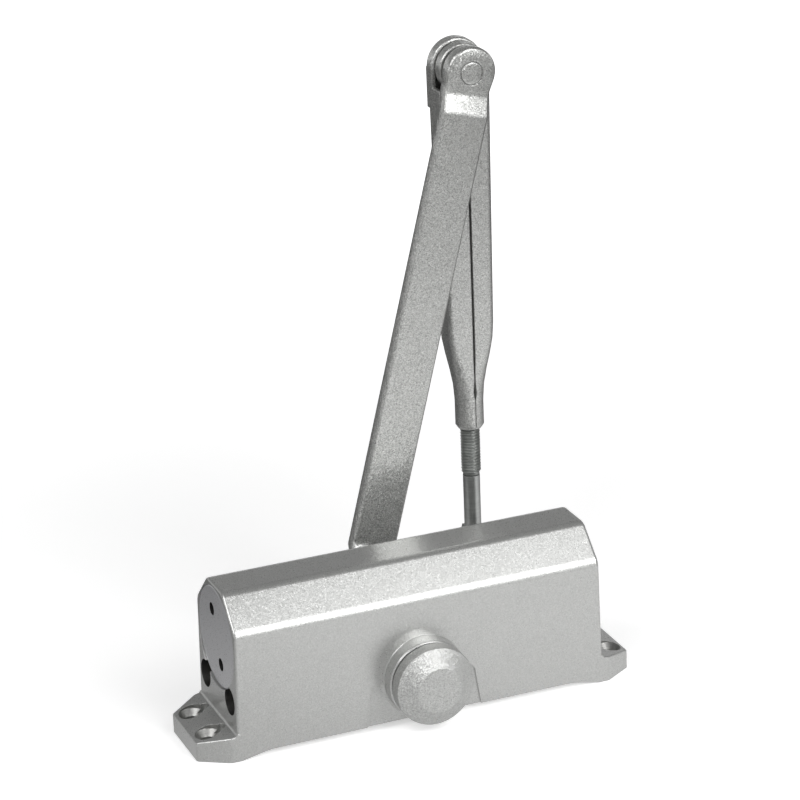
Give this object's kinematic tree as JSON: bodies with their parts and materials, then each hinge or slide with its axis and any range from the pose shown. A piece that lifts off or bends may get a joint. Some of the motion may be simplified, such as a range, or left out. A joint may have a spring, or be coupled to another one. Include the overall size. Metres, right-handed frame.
{
  "type": "overhead door closer",
  "caption": "Surface-mounted rack-and-pinion overhead door closer with a folding regular arm, threaded adjusting rod and frame shoe.",
  "frame": {"origin": "centre of the four mounting holes, on the mounting face", "axes": "+Z away from the mounting face, +X along the cylinder away from the regulating screws, +Y along the spindle towards the arm"},
  "size_m": [0.1774, 0.1048, 0.2402],
  "materials": {
    "cast_paint": "die-cast aluminium under silver enamel with a fine metallic fleck",
    "plug_zinc": "silver enamel, smooth",
    "cap_metal": "silver enamel over turned metal",
    "arm_paint": "silver enamel over steel",
    "rivet_steel": "silver enamel over steel",
    "rod_zinc": "bright zinc plate",
    "shoe_paint": "silver enamel over steel",
    "fastener_steel": "zinc plated steel",
    "machined_steel": "ground steel",
    "spring_steel": "oiled spring steel",
    "valve_brass": "machined brass",
    "seal_rubber": "black nitrile rubber"
  },
  "bodies": {
    "housing": {"housing": "cast_paint", "end_plug_left": "plug_zinc", "end_plug_right": "plug_zinc", "plug_seals": "seal_rubber", "spindle_bearing_front": "machined_steel", "spindle_bearing_rear": "machined_steel", "spindle_seals": "seal_rubber", "retaining_rings": "fastener_steel", "spindle_cap": "cap_metal", "spring_seat": "machined_steel", "closing_spring": "spring_steel"},
    "arm": {"pinion_spindle": "machined_steel", "arm_washer": "fastener_steel", "arm_screw": "fastener_steel", "main_arm": "arm_paint", "elbow_rivet": "rivet_steel", "elbow_washer": "rivet_steel", "elbow_spacer": "rivet_steel"},
    "forearm": {"forearm": "arm_paint"},
    "rod": {"adjusting_rod": "rod_zinc"},
    "shoe": {"shoe_bracket": "shoe_paint", "shoe_pin": "fastener_steel", "shoe_pin_clip": "fastener_steel"},
    "piston": {"piston": "machined_steel", "piston_seal": "seal_rubber", "check_valve_seat": "valve_brass"},
    "check_ball": {"check_valve_ball": "machined_steel"},
    "closing_valve": {"closing_speed_valve": "valve_brass", "closing_valve_seal": "seal_rubber"},
    "latching_valve": {"latching_speed_valve": "valve_brass", "latching_valve_seal": "seal_rubber"}
  },
  "joints": [
    {"name": "spindle_turn", "type": "hinge", "parent": "housing", "child": "arm", "pos_m": [0, 0, 0.0197], "axis": [0, 1, 0], "range_deg": [0, 160], "stiffness_Nm_per_rad": 6, "springref_deg": -114.59},
    {"name": "piston_slide", "type": "slide", "parent": "housing", "child": "piston", "axis": [1, 0, 0], "range_m": [0, 0.0228], "deforming": ["closing_spring"]},
    {"name": "elbow", "type": "hinge", "parent": "arm", "child": "forearm", "pos_m": [0.0558, 0.0584, 0.2294], "axis": [0, 1, 0], "range_deg": [-120, 180]},
    {"name": "rod_adjust", "type": "slide", "parent": "forearm", "child": "rod", "axis": [0, 0, -1], "range_m": [-0.012, 0.02]},
    {"name": "shoe_pivot", "type": "hinge", "parent": "rod", "child": "shoe", "pos_m": [0.0558, 0.0584, 0.0254], "axis": [0, 1, 0], "range_deg": [-90, 90]},
    {"name": "closing_speed_screw", "type": "hinge", "parent": "housing", "child": "closing_valve", "pos_m": [-0.06, -0.0135, 0.0215], "axis": [1, 0, 0], "range_deg": [-360, 360]},
    {"name": "latching_speed_screw", "type": "hinge", "parent": "housing", "child": "latching_valve", "pos_m": [-0.06, 0.0135, 0.0215], "axis": [1, 0, 0], "range_deg": [-360, 360]},
    {"name": "check_ball_lift", "type": "slide", "parent": "piston", "child": "check_ball", "axis": [1, 0, 0], "range_m": [0, 0.0019], "stiffness_N_per_m": 20, "springref_m": -0.002}
  ],
  "couplings": [
    {"joint": "piston_slide", "follows": "spindle_turn", "m_per_rad": 0.0081}
  ]
}
